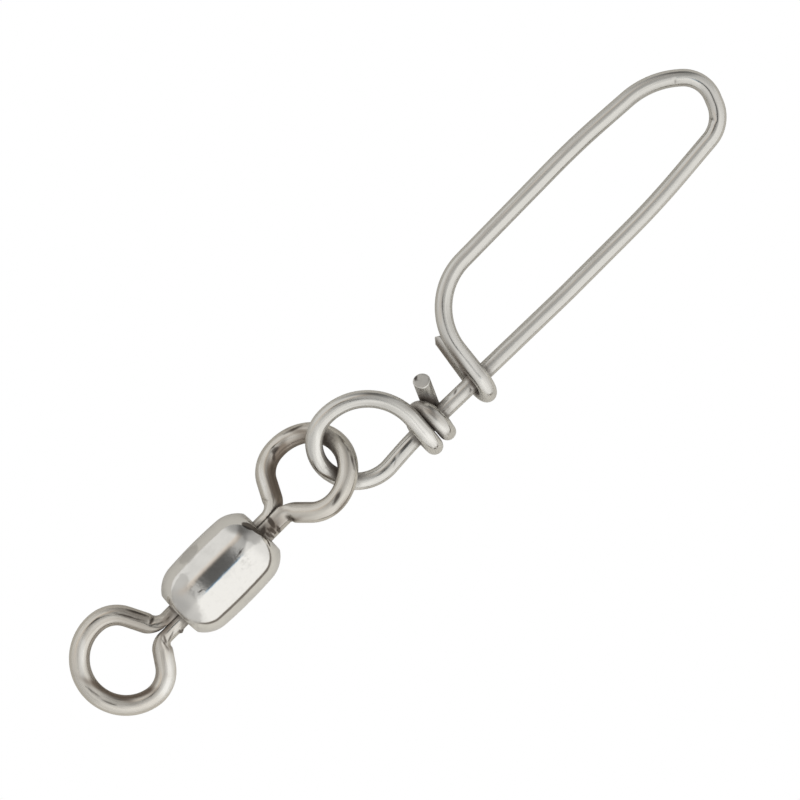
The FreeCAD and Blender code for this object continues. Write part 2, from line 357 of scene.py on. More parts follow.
# %% [markdown]
# ## The eyes
#
# Each eye is a ring of thicker wire. Its two legs are pressed together in a die until they make one
# round neck, half from each leg, with a seam between them. The neck turns in the barrel's end, and
# the legs are upset inside to a head that keeps it there. The wire is bent first, as a plain round
# one. Then each ring of its legs is given a new shape: its outer side goes onto the neck's circle,
# and its inner side onto the seam, which leaves the half-round legs of the real neck.

# %% The eye's corners
EYE_WIRE = 1.42
NECK_RADIUS = 0.92
LEG_MIDDLE = NECK_RADIUS / 2
SEAM_GAP = 0.05
RING_REACH = 8.67
RING_RADIUS = 3.18
SHOULDER_RADIUS = 2.15
HEAD_RADIUS = 1.55
HEAD_LENGTH = 1.1
HEAD_PLAY = 0.1
WALL = 0.55
HEAD_FRONT = HALF_LENGTH - WALL - HEAD_PLAY

NEAR_SIDE = {"side": 1, "ring_angle": 97, "neck_reach": 5.65, "neck_bend": 1.2}
FAR_SIDE = {"side": -1, "ring_angle": 78, "neck_reach": 6.2, "neck_bend": 0.9}


def heading(degrees):
    """A direction in the eye's plane, measured from the barrel's axis."""
    return Vector((math.cos(math.radians(degrees)), math.sin(math.radians(degrees)), 0))


def meeting_point(p, u, q, v):
    """Where the line through p along u meets the line through q along v."""
    d = q - p
    return p + u * ((d.x * v.y - d.y * v.x) / (u.x * v.y - u.y * v.x))


def eye_side(lean, side, ring_angle, neck_reach, neck_bend):
    """Corners of half an eye, from the head inside the barrel to the side of the ring."""
    middle = Vector((RING_REACH, lean, 0))
    neck = Vector((neck_reach, side * LEG_MIDDLE, 0))
    half_angle = math.radians(ring_angle / 2)
    ring_corner = middle + heading(side * ring_angle / 2) * (RING_RADIUS / math.cos(half_angle))
    sight = middle + heading(side * ring_angle) * (RING_RADIUS - SHOULDER_RADIUS) - neck
    sight_angle = math.atan2(side * sight.y, sight.x)
    slope = math.degrees(sight_angle + math.asin(SHOULDER_RADIUS / sight.length))
    ring_end = middle + heading(side * ring_angle) * RING_RADIUS
    shoulder = meeting_point(neck, heading(side * slope), ring_end, heading(side * (ring_angle + 90)))
    bend_starts = neck_reach - neck_bend * math.tan(math.radians(slope / 2))
    corners = [(Vector((HEAD_FRONT, side * LEG_MIDDLE, 0)), 0), (neck, neck_bend),
               (shoulder, SHOULDER_RADIUS), (ring_corner, RING_RADIUS)]
    return corners, bend_starts, slope


print("head's front (mm from the barrel's middle):", round(HEAD_FRONT, 3))

# %% [markdown]
# Pressing is worked out ring by ring. In the straight neck a ring is half of the neck's circle,
# with its inner side on the seam and its corners rolled over. The seam bows a little to one side, so
# no light comes through it. Round the neck bend the ring goes back, a step at a time, to plain wire.

# %% Press the legs into a neck
CORNER_ROLL = 0.14
ROLL_WIDTH = 0.3
SEAM_BOW = 0.09
LEAST_SHARE = 0.01


def half_neck(round_x, round_y, side):
    """Where a point of the round ring goes in the half-round one, out from the leg and up."""
    half_chord = math.sqrt(NECK_RADIUS ** 2 - (SEAM_GAP / 2) ** 2)
    roll = 1 - CORNER_ROLL * np.exp(-(np.abs(round_x) / ROLL_WIDTH) ** 2)
    height = half_chord * round_y * roll
    outer = np.sqrt(np.maximum(NECK_RADIUS ** 2 - (half_chord * round_y) ** 2, 0)) - LEG_MIDDLE
    seam = SEAM_GAP / 2 - LEG_MIDDLE + side * SEAM_BOW * (1 - round_y ** 2)
    out = np.where(round_x > 0, outer, seam)
    return out, height


def press_legs(eye, lean, sides):
    """Reshapes the rings of both legs, from plain wire on the flank to half a neck at the barrel."""
    points = mesh_points(eye).reshape(-1, WIRE_SIDES, 3) / MM
    centres = points.mean(axis=1)
    count = len(points)
    for facts in sides:
        side = facts["side"]
        _, bend_starts, slope = eye_side(lean, **facts)
        order = np.arange(count // 2) if side > 0 else count - 1 - np.arange(count // 2)
        tangents = np.gradient(centres[order], axis=0)
        turned = np.degrees(np.arctan2(side * tangents[:, 1], tangents[:, 0]))
        for place, ring in enumerate(order):
            in_neck = centres[ring][0] < bend_starts
            share = 1.0 if in_neck else 1 - turned[place] / slope
            if share < LEAST_SHARE:
                break
            along = Vector(tangents[place]).normalized()
            out_way = np.array(Vector((0, 0, 1)).cross(along) * side)
            offsets = points[ring] - centres[ring]
            round_x = offsets @ out_way / (EYE_WIRE / 2)
            round_y = offsets[:, 2] / (EYE_WIRE / 2)
            out, height = half_neck(round_x, round_y, side)
            out = (1 - share) * round_x * EYE_WIRE / 2 + share * out
            height = (1 - share) * round_y * EYE_WIRE / 2 + share * height
            points[ring] = centres[ring] + out[:, None] * out_way + height[:, None] * np.array([0, 0, 1])
    move_points(eye, points * MM)


# %% [markdown]
# The head is made as on the bench, from the end of the wire: the last ring of each leg is extruded
# and widened, then extruded along the neck, and closed with a face. The inner side of the ring, which
# the snap's loop and the line touch, is written down as an attribute, which the finish darkens brown
# as tarnish and as painted shade, since the inside of a ring lying on a sheet is in shade.

# %% Upset the heads
def upset_head(eye, ring):
    """Widens the end of a leg to its half of the head, and closes it."""
    front = Vector((HEAD_FRONT * MM, 0, 0))
    wanted = np.zeros(len(eye.data.vertices), dtype=bool)
    wanted[ring] = True
    select_points(eye, wanted)
    bpy.ops.mesh.extrude_region_move()
    bpy.ops.transform.resize(value=[HEAD_RADIUS / NECK_RADIUS] * 3, center_override=front)
    bpy.ops.mesh.extrude_region_move(TRANSFORM_OT_translate={"value": (-HEAD_LENGTH * MM, 0, 0)})
    bpy.ops.mesh.edge_face_add()
    bpy.ops.object.mode_set(mode="OBJECT")


def remember_inner(eye, lean):
    """Writes on each point how far it faces the middle of the ring, from -1 to 1."""
    rings = mesh_points(eye).reshape(-1, WIRE_SIDES, 3)
    centres = rings.mean(axis=1, keepdims=True)
    offsets = rings - centres
    to_middle = np.array([RING_REACH * MM, lean * MM, 0]) - centres
    lengths = np.linalg.norm(offsets, axis=2) * np.linalg.norm(to_middle, axis=2)
    inner = eye.data.attributes.new("inner", "FLOAT", "POINT")
    inner.data.foreach_set("value", ((offsets * to_middle).sum(axis=2) / lengths).ravel())


def make_eye(name, lean):
    """An eye with its neck along +X, measured from the barrel's middle."""
    near, _, _ = eye_side(lean, **NEAR_SIDE)
    far, _, _ = eye_side(lean, **FAR_SIDE)
    eye = bent_wire(name, near + far[::-1], EYE_WIRE)
    press_legs(eye, lean, (NEAR_SIDE, FAR_SIDE))
    remember_inner(eye, lean)
    count = len(eye.data.vertices)
    upset_head(eye, slice(0, WIRE_SIDES))
    upset_head(eye, slice(count - WIRE_SIDES, count))
    return eye


# %% [markdown]
# Both eyes come from the same die, and only the lean of the ring differs. The line eye is turned
# round, because it faces the other way. The snap eye is rolled in the barrel until its ring stands
# square to the axis that the snap swings about.

# %% Both eyes
LINE_RING_LEAN = 0.43
SNAP_RING_LEAN = 0.74

line_eye = make_eye("line_eye_wire", LINE_RING_LEAN)
settle(line_eye, Matrix.Translation(barrel_middle) @ Matrix.Rotation(math.pi, 4, "Y"))
smooth(line_eye)

ring_normal = Vector(joints["snap_swing"]["axis"])
ROLL = math.atan2(ring_normal.y, ring_normal.z)
snap_eye = make_eye("snap_eye_wire", SNAP_RING_LEAN)
settle(snap_eye, Matrix.Translation(barrel_middle) @ Matrix.Rotation(-ROLL, 4, "X"))
smooth(snap_eye)
print("snap eye rolled by", round(math.degrees(ROLL), 1), "degrees")

for eye, node in ((line_eye, "line_eye"), (snap_eye, "snap_eye")):
    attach(eye, node)
    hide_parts(node)

# %% [markdown]
# ## The barrel
#
# The barrel is a short tube whose ends are crimped in over the heads of the eyes, and then plated.
# A lathe would make its outline from rings, and so does this cell: a circle is extruded and resized
# from ring to ring, along the outline of belly, crimp, end face and hole, and back inside.

# %% The barrel's outline
BELLY_RADIUS = 34.0
CRIMP_RADIUS = 2.25
END_FACE_RADIUS = 1.75
HOLE_RADIUS = NECK_RADIUS + 0.06
EDGE_ROUND = 0.12
HOLE_ROUND = 0.15

belly_r = BARREL_RADIUS - BELLY_RADIUS
end_rise = END_FACE_RADIUS - BARREL_RADIUS + BELLY_RADIUS
crimp_sight = math.hypot(HALF_LENGTH, end_rise)
crimp_arm = BELLY_RADIUS - CRIMP_RADIUS
crimp_cosine = (crimp_sight ** 2 + crimp_arm ** 2 - CRIMP_RADIUS ** 2) / (2 * crimp_arm * crimp_sight)
crimp_start = math.atan2(HALF_LENGTH, end_rise) - math.acos(crimp_cosine)
crimp_x = crimp_arm * math.sin(crimp_start)
crimp_r = belly_r + crimp_arm * math.cos(crimp_start)


def arc(x, r, radius, start, finish, steps):
    """Points of an arc of the outline, with its angles measured from straight out."""
    angles = [start + (finish - start) * i / steps for i in range(steps + 1)]
    return [(x + radius * math.sin(a), r + radius * math.cos(a)) for a in angles]


def half_outline():
    """The outline from the middle of the belly to the hole, and back inside to the middle."""
    edge_arm = CRIMP_RADIUS - EDGE_ROUND
    edge_x = HALF_LENGTH - EDGE_ROUND
    edge_angle = math.asin((edge_x - crimp_x) / edge_arm)
    edge_r = crimp_r + edge_arm * math.cos(edge_angle)
    hole_x = HALF_LENGTH - HOLE_ROUND
    hole_r = HOLE_RADIUS + HOLE_ROUND
    inner_end = HALF_LENGTH - WALL
    inner_angle = math.asin((inner_end - crimp_x) / (CRIMP_RADIUS - WALL))
    outline = arc(0, belly_r, BELLY_RADIUS, 0, crimp_start, 24)
    outline += arc(crimp_x, crimp_r, CRIMP_RADIUS, crimp_start, edge_angle, 20)[1:]
    outline += arc(edge_x, edge_r, EDGE_ROUND, edge_angle, math.pi / 2, 5)[1:]
    outline += arc(hole_x, hole_r, HOLE_ROUND, math.pi / 2, math.pi, 6)
    outline += [(inner_end, HOLE_RADIUS)]
    outline += arc(crimp_x, crimp_r, CRIMP_RADIUS - WALL, inner_angle, crimp_start, 8)
    outline += arc(0, belly_r, BELLY_RADIUS - WALL, crimp_start, 0, 6)[1:]
    return outline


right_half = half_outline()
left_half = [(-x, r) for x, r in right_half[::-1]]
outline = right_half + left_half[1:]
print("outline:", len(outline), "rings")

# %% [markdown]
# The outline starts and ends in the middle of the belly, outside and inside, so the last ring meets
# the first one. Merging the two closes the wall into one skin, as the real sleeve's is.

# %% Turn the barrel
BARREL_SIDES = 160
SAME_PLACE = 0.002 * MM


def on_barrel_axis(x):
    """The point of the axis at x millimetres from the barrel's middle."""
    return barrel_middle + Vector((x * MM, 0, 0))


bpy.ops.object.select_all(action="DESELECT")
bpy.ops.mesh.primitive_circle_add(vertices=BARREL_SIDES, radius=outline[0][1] * MM,
                                  rotation=(0, math.pi / 2, 0), location=on_barrel_axis(outline[0][0]))
barrel = bpy.context.object
barrel.name = barrel.data.name = "barrel_shell"
bpy.ops.object.mode_set(mode="EDIT")
for (last_x, last_r), (x, r) in zip(outline, outline[1:]):
    bpy.ops.mesh.extrude_region_move(TRANSFORM_OT_translate={"value": (((x - last_x) * MM), 0, 0)})
    size = r / last_r
    bpy.ops.transform.resize(value=(1, size, size), center_override=on_barrel_axis(x))
bpy.ops.mesh.select_all(action="SELECT")
bpy.ops.mesh.remove_doubles(threshold=SAME_PLACE)
bpy.ops.object.mode_set(mode="OBJECT")
settle(barrel)
smooth(barrel)
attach(barrel, "barrel")
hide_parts("barrel")

# %% [markdown]
# ## Marks of tools and use
#
# The dies and pliers that pressed the necks left creases, nicks and one raised burr, and dirt stays
# in them. Each mark is a soft oval on the side that faces up. It is kept on the mesh as an attribute,
# because an image would have to be unwrapped round every bend. The same ovals also carry painted
# dark reflections on the line eye's ring and the barrel, and a painted shadow at the barrel's end.

# %% Soft ovals on a piece
MARKS_FROM = (-17.361, 0.2295, 0)
FACING_GAIN = 3


def upper_side(piece):
    """Each point's place in millimetres, its normal, and 1 where it faces up."""
    normals = np.empty(len(piece.data.vertices) * 3)
    piece.data.vertices.foreach_get("normal", normals)
    normals = normals.reshape(-1, 3)
    facing = np.clip(normals[:, 2] * FACING_GAIN, 0, 1)
    return mesh_points(piece) / MM - np.array(MARKS_FROM), normals, facing


def oval(place, x, y, degrees, half_length, half_width):
    """1 in the middle of an oval, fading outwards."""
    lengthwise = heading(degrees)
    along = (place[:, 0] - x) * lengthwise.x + (place[:, 1] - y) * lengthwise.y
    across = (place[:, 1] - y) * lengthwise.x - (place[:, 0] - x) * lengthwise.y
    return np.exp(-(along / half_length) ** 2 - (across / half_width) ** 2)


def paint(piece, name, ovals):
    """Keeps ovals on the mesh, each with a middle, a heading, half a length and width, and a share."""
    place, _, facing = upper_side(piece)
    shares = np.zeros(len(place))
    for *shape, share in ovals:
        shares = np.maximum(shares, oval(place, *shape) * facing * share)
    memory = piece.data.attributes.new(name, "FLOAT", "POINT")
    memory.data.foreach_set("value", shares)
    print(f"{piece.name}: {len(ovals)} ovals of {name}")


def press_marks(piece, marks):
    """Pushes each oval in by its depth, which comes before its share of darkening."""
    points = mesh_points(piece)
    for *shape, depth, _ in marks:
        place, normals, facing = upper_side(piece)
        points -= normals * (oval(place, *shape) * facing * depth * MM)[:, None]
    move_points(piece, points)
    paint(piece, "mark", [(*shape, share) for *shape, _, share in marks])


# %% [markdown]
# The tool marks are pushed into the mesh as well, by a few hundredths of a millimetre, so that they
# catch the light. A row gives an oval's middle, its heading, half its length and width, its depth
# and its share of darkening, which is dirt in a tool mark. The burr has a negative depth. The line
# eye's last two rows are not tool marks but painted dark reflections along its ring.

# %% Tool marks
press_marks(line_eye, [
    (-5.97, 2.09, -62, 0.80, 0.08, 0.030, 1.0), (-6.60, 2.40, -60, 1.30, 0.07, 0.030, 0.9),
    (-5.67, 1.03, 20, 0.32, 0.13, 0.070, 1.0), (-5.17, 0.47, -13, 0.80, 0.05, 0.020, 0.8),
    (-5.90, -0.50, 60, 0.40, 0.10, 0.060, 0.9), (-6.15, -0.75, 75, 0.50, 0.08, 0.040, 0.8),
    (-5.45, -0.62, 20, 0.50, 0.07, 0.030, 0.8), (-4.74, -0.90, -38, 0.26, 0.12, -0.220, 1.2),
    # the last two rows are painted dark reflections along the ring, not tool marks
    (-11.88, 0.45, -83, 0.70, 0.06, 0.010, 0.8), (-11.57, -0.95, -66, 0.80, 0.06, 0.010, 0.8)
])
press_marks(snap_eye, [
    (10.24, 3.45, -20, 0.90, 0.09, 0.030, 0.8), (8.39, 3.35, -8, 0.32, 0.14, 0.070, 1.2),
    (8.10, 3.15, 40, 0.45, 0.12, 0.030, 0.9), (5.53, 1.45, -55, 0.45, 0.09, 0.030, 0.4),
    (4.81, 0.00, 75, 0.38, 0.13, 0.090, 1.6), (4.11, -0.55, -75, 0.36, 0.09, 0.060, 1.5),
    (4.44, -0.45, -75, 0.36, 0.09, 0.060, 1.5), (4.80, -0.68, 70, 0.26, 0.10, 0.060, 1.5),
    (3.97, -0.01, 25, 0.30, 0.14, 0.040, 1.4), (5.91, -0.74, -72, 0.38, 0.16, 0.080, 1.0),
    (9.14, -1.95, 16, 0.55, 0.13, 0.040, 0.9), (12.05, 0.25, 80, 1.10, 0.09, 0.020, 0.6),
    (11.68, -0.88, 58, 0.60, 0.09, 0.020, 0.9)
])
press_marks(snap, [
    (45.52, 1.78, 45, 0.22, 0.07, 0.050, 0.8), (45.46, -1.78, -80, 0.26, 0.12, 0.060, 0.6),
    (18.66, 0.03, 45, 0.22, 0.10, 0.030, 1.2), (19.90, -2.55, 20, 0.30, 0.08, 0.020, 0.6),
    (20.70, -3.20, 60, 0.15, 0.08, 0.030, 1.0), (13.60, -3.05, 30, 0.40, 0.09, 0.020, 0.5)
])

# %% [markdown]
# Other places are brown, with tarnish where salt dried and with painted shade where the wire lies in
# shade, or bright, with wear where the wire stands proud and with painted highlights where its
# highlights fall. The barrel has grey patches instead, which are painted reflections of facets that
# mirror grey, a dark crescent at its right end, which is a painted shadow and reflection of the neck,
# and two fine dark lines, which are painted reflections of the dark gap overhead. None of them has a
# depth, so the rows leave it out.

# %% Tarnish, painted shade, wear and painted highlights
# Brown ovals: tarnish, and painted shade where the wire lies in shade, as beside the hook's drop, round
# the tail and over the snap eye's neck.
paint(line_eye, "brown", [
    (-6.20, 2.10, -68, 1.90, 0.60, 0.55), (-11.15, -0.10, -70, 2.00, 0.24, 0.9),
    (-9.70, -1.90, -30, 1.20, 0.22, 0.9), (-5.10, 0.15, 20, 1.10, 0.55, 0.8),
    (-6.10, -1.20, -75, 0.70, 0.30, 0.5)
])
paint(snap_eye, "brown", [
    (6.60, 1.55, 62, 1.60, 0.35, 0.9), (8.20, 2.75, 30, 1.20, 0.25, 0.8),
    (4.70, -0.25, 0, 1.10, 0.60, 0.8), (6.00, -1.00, -20, 0.80, 0.22, 0.6),
    (10.60, 2.90, -55, 1.60, 0.30, 0.6), (8.90, -2.60, 8, 1.50, 0.18, 0.7)
])
paint(snap, "brown", [
    (21.35, -1.80, -103, 2.30, 0.18, 0.8), (21.00, -0.40, -102, 2.20, 0.45, 0.8),
    (17.75, -2.30, -84, 1.50, 0.30, 0.6), (17.20, -1.40, -60, 1.00, 0.40, 0.5),
    (45.95, 0.30, -75, 1.70, 0.30, 0.35)
])
# Painted shadow and reflection: the first four ovals make the dark crescent at the barrel's right end,
# beside the neck. The last two are painted dark reflections, lines that carry on the dark gap that the
# barrel mirrors along its top.
paint(barrel, "mark", [
    (3.55, 0.95, -70, 0.50, 0.20, 1.2), (3.72, 0.35, -82, 0.50, 0.13, 1.2),
    (3.80, -0.30, -92, 0.55, 0.06, 1.1), (3.72, -0.85, -110, 0.35, 0.05, 1),
    (1.95, 0.07, 4, 0.75, 0.11, 0.62), (-1.75, 0.12, -18, 0.50, 0.12, 0.6)
])
# Grey patches: painted reflections of facets that mirror grey, which also make the plate duller
paint(barrel, "patch", [
    (-2.69, 1.27, 25, 0.95, 0.45, 0.9), (-3.30, -0.20, 40, 1.70, 1.05, 0.55),
    (3.20, 0.25, -80, 1.10, 0.50, 0.6), (1.75, -0.85, 50, 1.30, 0.80, 0.4),
    (-0.65, 2.45, 0, 0.90, 0.40, 0.8)
])
# Bright ovals: wear, and painted highlights where the wire's highlights fall; they lighten its colour.
paint(line_eye, "worn_and_highlight", [
    (-7.93, -2.84, 14, 1.10, 0.40, 1), (-6.88, -2.07, 45, 1.10, 0.35, 0.9),
    (-10.68, 2.69, 45, 1.70, 0.28, 0.7), (-5.20, -0.55, 0, 0.80, 0.20, 0.5)
])
paint(snap_eye, "worn_and_highlight", [
    (6.35, 2.45, 60, 1.50, 0.22, 0.8), (10.73, -0.91, 50, 1.30, 0.35, 0.4),
    (5.20, 0.95, 40, 0.60, 0.15, 0.7), (4.27, -0.60, -75, 0.30, 0.09, 0.9),
    (5.10, -0.40, 70, 0.40, 0.12, 0.8), (3.95, -0.65, -75, 0.30, 0.09, 0.8)
])
paint(snap, "worn_and_highlight", [
    (16.36, -2.69, -84, 1.90, 0.36, 1), (17.41, -3.65, -84, 0.70, 0.34, 0.8),
    (21.85, -2.02, -103.5, 2.60, 0.34, 1), (19.70, -3.15, 0, 2.00, 0.22, 0.5),
    (10.44, 1.10, 48, 2.00, 0.24, 0.8), (11.60, -2.84, -19, 2.40, 0.26, 0.6),
    (46.40, -0.10, -95, 1.60, 0.28, 0.5)
])

# %% [markdown]
# ## Dirt and painted shade in the recesses
#
# Salt, grease and handling leave brown-black dirt where wires touch: between the wraps, in the
# seam of the necks and where the eye sits in the barrel, and these recesses lie in shade too. How
# hidden a point is can be measured by sending out short feelers from it and counting those that hit
# metal. The share is kept on the mesh as an attribute, which the finishes read to darken the colour
# there, as dirt and as painted shade, so both stay put when the part moves.

# %% Measure how hidden each point is
FEELER = 1.6 * MM
FEELER_START = 0.03 * MM
FEELER_LOW = 0.1
FEELERS = 24

pieces = [barrel, line_eye, snap_eye, snap]


def whole_tree():
    """One search tree of all the pieces."""
    corners, faces = [], []
    for piece in pieces:
        start = len(corners)
        corners += [v.co.copy() for v in piece.data.vertices]
        faces += [[start + i for i in face.vertices] for face in piece.data.polygons]
    return BVHTree.FromPolygons(corners, faces)


def feeler_ways():
    """Directions spread evenly over a sphere."""
    golden = math.pi * (3 - math.sqrt(5))
    ways = []
    for i in range(2 * FEELERS):
        up = 1 - (2 * i + 1) / (2 * FEELERS)
        flat = math.sqrt(1 - up * up)
        ways.append(Vector((flat * math.cos(golden * i), flat * math.sin(golden * i), up)))
    return ways


def mark_hidden(piece, tree, ways):
    """Keeps the share of feelers that hit metal at each point."""
    hidden = []
    for vertex in piece.data.vertices:
        start = vertex.co + vertex.normal * FEELER_START
        open_ways = [way for way in ways if way.dot(vertex.normal) > FEELER_LOW]
        hits = sum(1 for way in open_ways if tree.ray_cast(start, way, FEELER)[0] is not None)
        hidden.append(hits / max(1, len(open_ways)))
    mark = piece.data.attributes.new("hidden", "FLOAT", "POINT")
    mark.data.foreach_set("value", hidden)
    print(f"{piece.name}: most hidden {max(hidden):.2f}, mean {sum(hidden) / len(hidden):.3f}")


tree = whole_tree()
ways = feeler_ways()
for piece in pieces:
    mark_hidden(piece, tree, ways)

# %% [markdown]
# ## Finishes
#
# A finish is a few measurements of the surface turned into colour, gloss and bump. Writing it as
# sums keeps it readable, so the next cell wraps a node's output in a small class with + - * and
# a method for a smooth step.

# %% Values
class Value:
    """An output of a node, used in sums as a plain number is."""

    def __init__(self, finish, socket):
        self.finish = finish
        self.socket = socket

    def math(self, operation, *values):
        return self.finish.node("ShaderNodeMath", {"operation": operation}, dict(enumerate(values)))

    def __add__(self, other):
        return self.math("ADD", self, other)

    def __sub__(self, other):
        return self.math("SUBTRACT", self, other)

    def __rsub__(self, other):
        return self.math("SUBTRACT", other, self)

    def __mul__(self, other):
        return self.math("MULTIPLY", self, other)

    __radd__ = __add__
    __rmul__ = __mul__

    def size(self):
        return self.math("ABSOLUTE", self)

    def step(self, low, high):
        """0 below low, 1 above high, and a smooth change between."""
        return self.finish.node("ShaderNodeMapRange", {"interpolation_type": "SMOOTHSTEP"},
                                {"Value": self, "From Min": low, "From Max": high})


# %% [markdown]
# The nodes come from one method, which takes a node's type, its settings and what goes into its
# sockets. The other methods are short names for nodes that the finishes use again and again.

# %% Nodes
class Finish:
    """A material's or a world's nodes, added one by one."""

    def __init__(self, owner):
        self.owner = owner
        owner.use_nodes = True
        self.tree = owner.node_tree
        self.tree.nodes.clear()

    def node(self, kind, settings, inputs, output=0):
        """Adds a node, and gives one of its outputs as a value."""
        made = self.tree.nodes.new(kind)
        for name, setting in settings.items():
            setattr(made, name, setting)
        for name, value in inputs.items():
            if isinstance(value, Value):
                self.tree.links.new(value.socket, made.inputs[name])
            else:
                made.inputs[name].default_value = value
        return Value(self, made.outputs[output]) if made.outputs else None

    def attribute(self, name, output="Fac"):
        """What a mesh remembers at each point."""
        return self.node("ShaderNodeAttribute", {"attribute_name": name}, {}, output)

    def scaled(self, place, scale):
        """Coordinates multiplied by a scale of their own for each direction."""
        return self.node("ShaderNodeVectorMath", {"operation": "MULTIPLY"}, {0: place, 1: scale})

    def noise(self, place, scale, detail=2.0, rough=0.5):
        """Soft noise from 0 to 1, with its scale for each direction in grains a metre."""
        return self.node("ShaderNodeTexNoise", {}, {"Vector": self.scaled(place, scale), "Scale": 1.0,
                                                    "Detail": detail, "Roughness": rough})

    def blend(self, share, low, high):
        """A colour between two colours."""
        return self.node("ShaderNodeMix", {"data_type": "RGBA"}, {"Factor": share, 6: low, 7: high}, 2)


# %% [markdown]
# The wire is drawn through a die, so its marks run lengthwise: long fine lines, with a few deeper
# brown ones. Over them lie small mottles from handling. The dirt and painted shade in the recesses
# are dark and dull.

# %% The wires' finish
STEEL = (0.67, 0.66, 0.63, 1)
WARM_STEEL = (0.68, 0.653, 0.603, 1)
# bright colour of worn metal, also painted as highlights
WORN_BRIGHT_AND_HIGHLIGHT = (0.86, 0.85, 0.82, 1)
LINE_BROWN = (0.38, 0.34, 0.30, 1)
# brown of tarnish, also painted as shade
TARNISH_AND_SHADE = (0.17, 0.122, 0.086, 1)
# dark colour of the recesses: dirt, and painted shade where the wires hide each other
DIRT_AND_SHADE = (0.105, 0.082, 0.066, 1)
# darkest colour: dirt in tool marks, and painted dark reflection and shadow
STAIN_AND_DARK_REFLECTION = (0.07, 0.054, 0.043, 1)


def wire_finish(name, metal, inner_tarnish_and_shade):
    """A drawn wire's finish, from its metal's colour and how brown the inside of its ring is."""
    finish = Finish(bpy.data.materials.new(name))
    drawn = finish.attribute("drawn", "Vector")
    hidden = finish.attribute("hidden")
    place = finish.node("ShaderNodeTexCoord", {}, {}, "Object")
    inner = finish.attribute("inner")
    mark = finish.attribute("mark")
    brown = finish.attribute("brown")
    worn_and_highlight = finish.attribute("worn_and_highlight")
    cut = finish.attribute("cut")
    mottle = finish.noise(place, (1500, 1500, 1500), 4, 0.6)
    lines = finish.noise(drawn, (110, 3600, 3600), 3, 0.6) * (1 - cut) + mottle * cut
    bands = finish.noise(drawn, (60, 1500, 1500), 2, 0.5) * (1 - cut) + cut * 0.5
    streaks = lines.step(0.56, 0.70) * bands.step(0.40, 0.60)
    dull = lines.step(0.44, 0.58)
    # dirt and painted shade: the colour darkens, and the metal dulls, where the feelers found a point
    # hidden
    dirt_and_shade = (hidden + (mottle - 0.5) * 0.25).step(0.14, 0.62)
    # stain in the tool marks, and painted dark reflections on the line eye's ring
    stain_and_dark_reflection = (mark + (mottle - 0.5) * 0.9 * mark.step(0.02, 0.3)).step(0.1, 0.75)
    # tarnish and painted shade: the inner side of each ring and the brown ovals are darkened brown
    ring_tarnish_and_shade = inner.step(0.3, 0.9) * inner_tarnish_and_shade
    tarnish_and_shade = (brown + ring_tarnish_and_shade + (bands - 0.5) * 0.4 * brown.step(0.02, 0.3)).step(0, 1)
    # wear and painted highlights: the bright ovals lighten the colour and smooth the surface
    polish_and_highlight = (worn_and_highlight + (lines - 0.5) * worn_and_highlight.step(0.02, 0.3)).step(0.1, 0.9)
    colour = finish.blend(streaks * 0.5, metal, LINE_BROWN)
    colour = finish.blend(polish_and_highlight, colour, WORN_BRIGHT_AND_HIGHLIGHT)
    colour = finish.blend(tarnish_and_shade * 0.8, colour, TARNISH_AND_SHADE)
    colour = finish.blend(dirt_and_shade * 0.9, colour, DIRT_AND_SHADE)
    colour = finish.blend(stain_and_dark_reflection * 0.85, colour, STAIN_AND_DARK_REFLECTION)
    rough = 0.1 + dull * 0.3 + mottle.step(0.4, 0.7) * 0.05
    rough = rough + (dirt_and_shade + tarnish_and_shade + cut) * 0.22 + polish_and_highlight * 0.18
    height = lines * 0.6 + bands * 0.5 + mottle * 0.2
    bump = finish.node("ShaderNodeBump", {}, {"Height": height, "Strength": 0.25,
                                              "Distance": 0.012 * MM})
    shader = finish.node("ShaderNodeBsdfPrincipled", {}, {"Base Color": colour,
                                                          "Metallic": 1 - dirt_and_shade * 0.85,
                                                          "Roughness": rough, "Normal": bump})
    finish.node("ShaderNodeOutputMaterial", {}, {"Surface": shader})
    return finish.owner


snap.data.materials.append(wire_finish("snap_spring_steel", STEEL, 0))
line_eye.data.materials.append(wire_finish("line_eye_nickel", WARM_STEEL, 0.45))
snap_eye.data.materials.append(wire_finish("snap_eye_nickel", WARM_STEEL, 0.7))

# %% [markdown]
# The barrel is plated and tumbled: brighter and smoother than the wire, with a cloudy grey tone
# and small pits. Its larger grey patches are painted reflections of facets that mirror grey, and
# they are duller too.

# %% The barrel's finish
NICKEL = (0.82, 0.81, 0.785, 1)
# grey of the plate's cloudy tone, and painted reflection in its grey patches
CLOUD_AND_REFLECTED_GREY = (0.58, 0.57, 0.55, 1)


